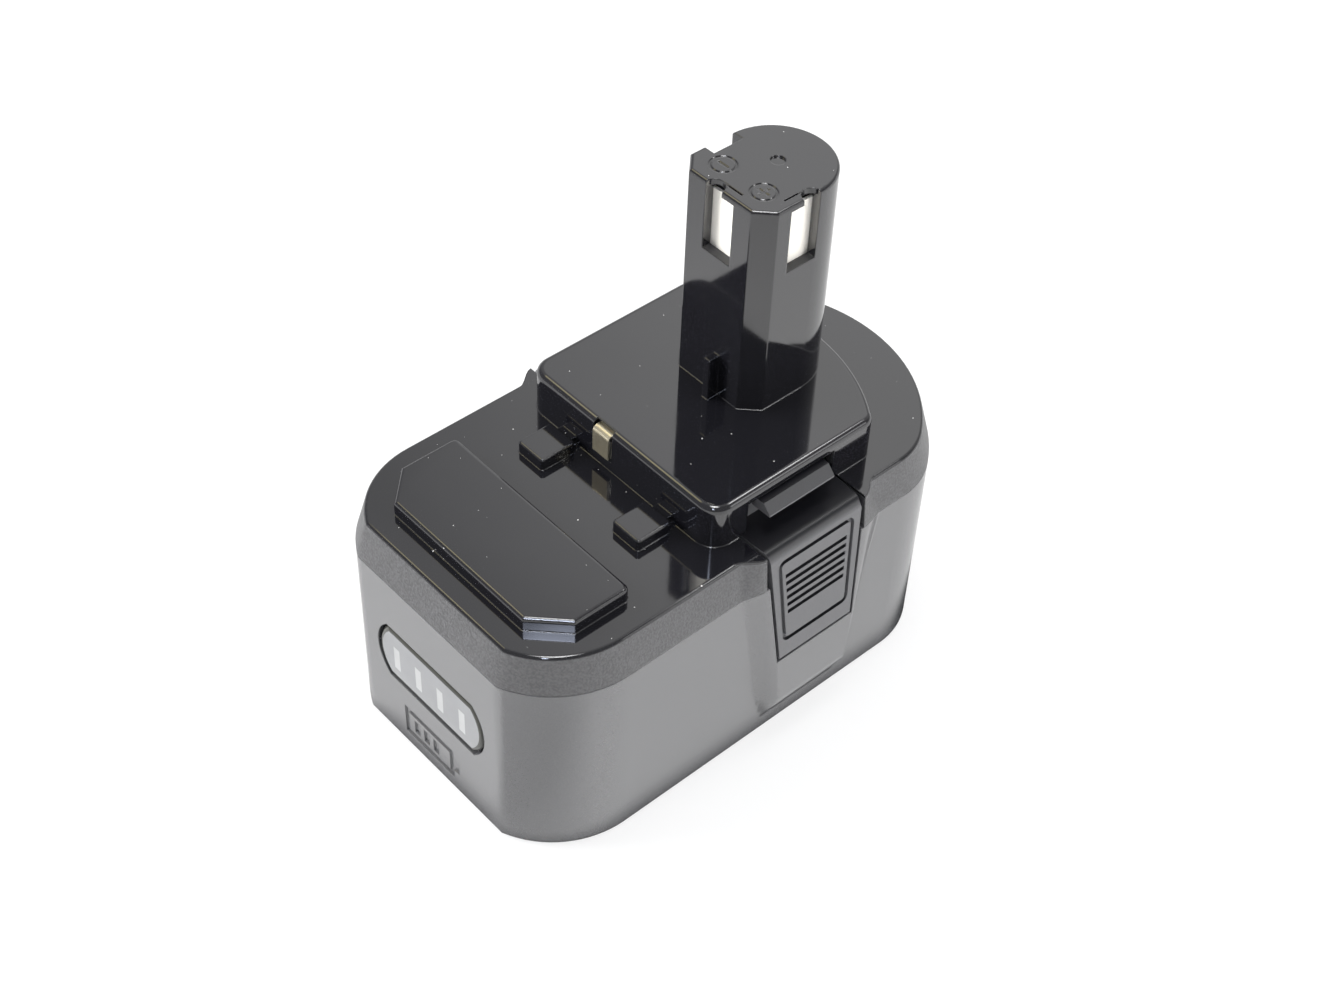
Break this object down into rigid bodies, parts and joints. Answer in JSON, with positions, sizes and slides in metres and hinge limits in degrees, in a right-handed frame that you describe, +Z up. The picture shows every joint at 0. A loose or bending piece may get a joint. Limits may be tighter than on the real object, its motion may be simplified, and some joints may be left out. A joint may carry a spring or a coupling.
{
  "type": "power tool battery pack",
  "caption": "Black stem-type battery pack: rounded housing, glossy top with raised deck and contact stem, side release latches, front charge gauge.",
  "frame": {"origin": "middle of the footprint's bounding box, on the face that the pack stands on", "axes": "+Z up along the stem, -Y towards the charge gauge, +X towards the right-hand latch"},
  "size_m": [0.083, 0.129, 0.1204],
  "materials": {
    "housing_plastic": "satin moulded",
    "cover_plastic": "polished top, fine grained band",
    "latch_plastic": "fine grained",
    "spring_steel": "bare wire",
    "lens_plastic": "translucent grey",
    "window_plastic": "milky white",
    "circuit_board": "green solder mask",
    "led_body": "clear resin",
    "component_black": "moulded case",
    "component_pale": "moulded case",
    "cable_grey": "flat cable",
    "inner_plastic": "moulded",
    "contact_nickel": "nickel plated",
    "contact_gilt": "plated spring brass",
    "cell_sleeve": "shrink sleeve",
    "nickel_strip": "rolled strip",
    "insulating_card": "pressed card",
    "foam": "cell foam",
    "screw_steel": "zinc plated"
  },
  "bodies": {
    "case": {"lower_housing": "housing_plastic", "top_cover": "cover_plastic", "latch_spring_right": "spring_steel", "latch_spring_left": "spring_steel", "gauge_board": "circuit_board", "gauge_leds": "led_body", "gauge_switch": "component_black", "gauge_cable": "cable_grey", "main_board": "circuit_board", "power_transistors": "component_black", "board_fuse": "component_pale", "board_connector": "component_pale", "terminal_holder": "inner_plastic", "terminal_front": "contact_nickel", "terminal_right": "contact_nickel", "terminal_left": "contact_nickel", "deck_contact": "contact_gilt", "cell_1": "cell_sleeve", "cell_2": "cell_sleeve", "cell_3": "cell_sleeve", "cell_4": "cell_sleeve", "cell_5": "cell_sleeve", "cell_6": "cell_sleeve", "cell_7": "cell_sleeve", "cell_8": "cell_sleeve", "cell_9": "cell_sleeve", "cell_10": "cell_sleeve", "cell_holder_right": "inner_plastic", "cell_holder_left": "inner_plastic", "strip_right_1": "nickel_strip", "strip_right_2": "nickel_strip", "strip_right_3": "nickel_strip", "strip_left_1": "nickel_strip", "strip_left_2": "nickel_strip", "strip_left_3": "nickel_strip", "insulator_right": "insulating_card", "insulator_left": "insulating_card", "bottom_pad": "foam", "lead_positive": "nickel_strip", "lead_negative": "nickel_strip", "housing_screws": "screw_steel", "board_screws": "screw_steel"},
    "right_latch": {"latch_right": "latch_plastic"},
    "left_latch": {"latch_left": "latch_plastic"},
    "button": {"gauge_button": "lens_plastic", "gauge_windows": "window_plastic"}
  },
  "joints": [
    {"name": "latch_right_press", "type": "slide", "parent": "case", "child": "right_latch", "axis": [-1, 0, 0], "range_m": [0, 0.0032], "stiffness_N_per_m": 1200, "springref_m": -0.004, "deforming": ["latch_spring_right"]},
    {"name": "latch_left_press", "type": "slide", "parent": "case", "child": "left_latch", "axis": [1, 0, 0], "range_m": [0, 0.0032], "stiffness_N_per_m": 1200, "springref_m": -0.004, "deforming": ["latch_spring_left"]},
    {"name": "gauge_button_press", "type": "slide", "parent": "case", "child": "button", "axis": [0, 1, 0], "range_m": [0, 0.0006], "stiffness_N_per_m": 2500, "springref_m": -0.0004}
  ]
}
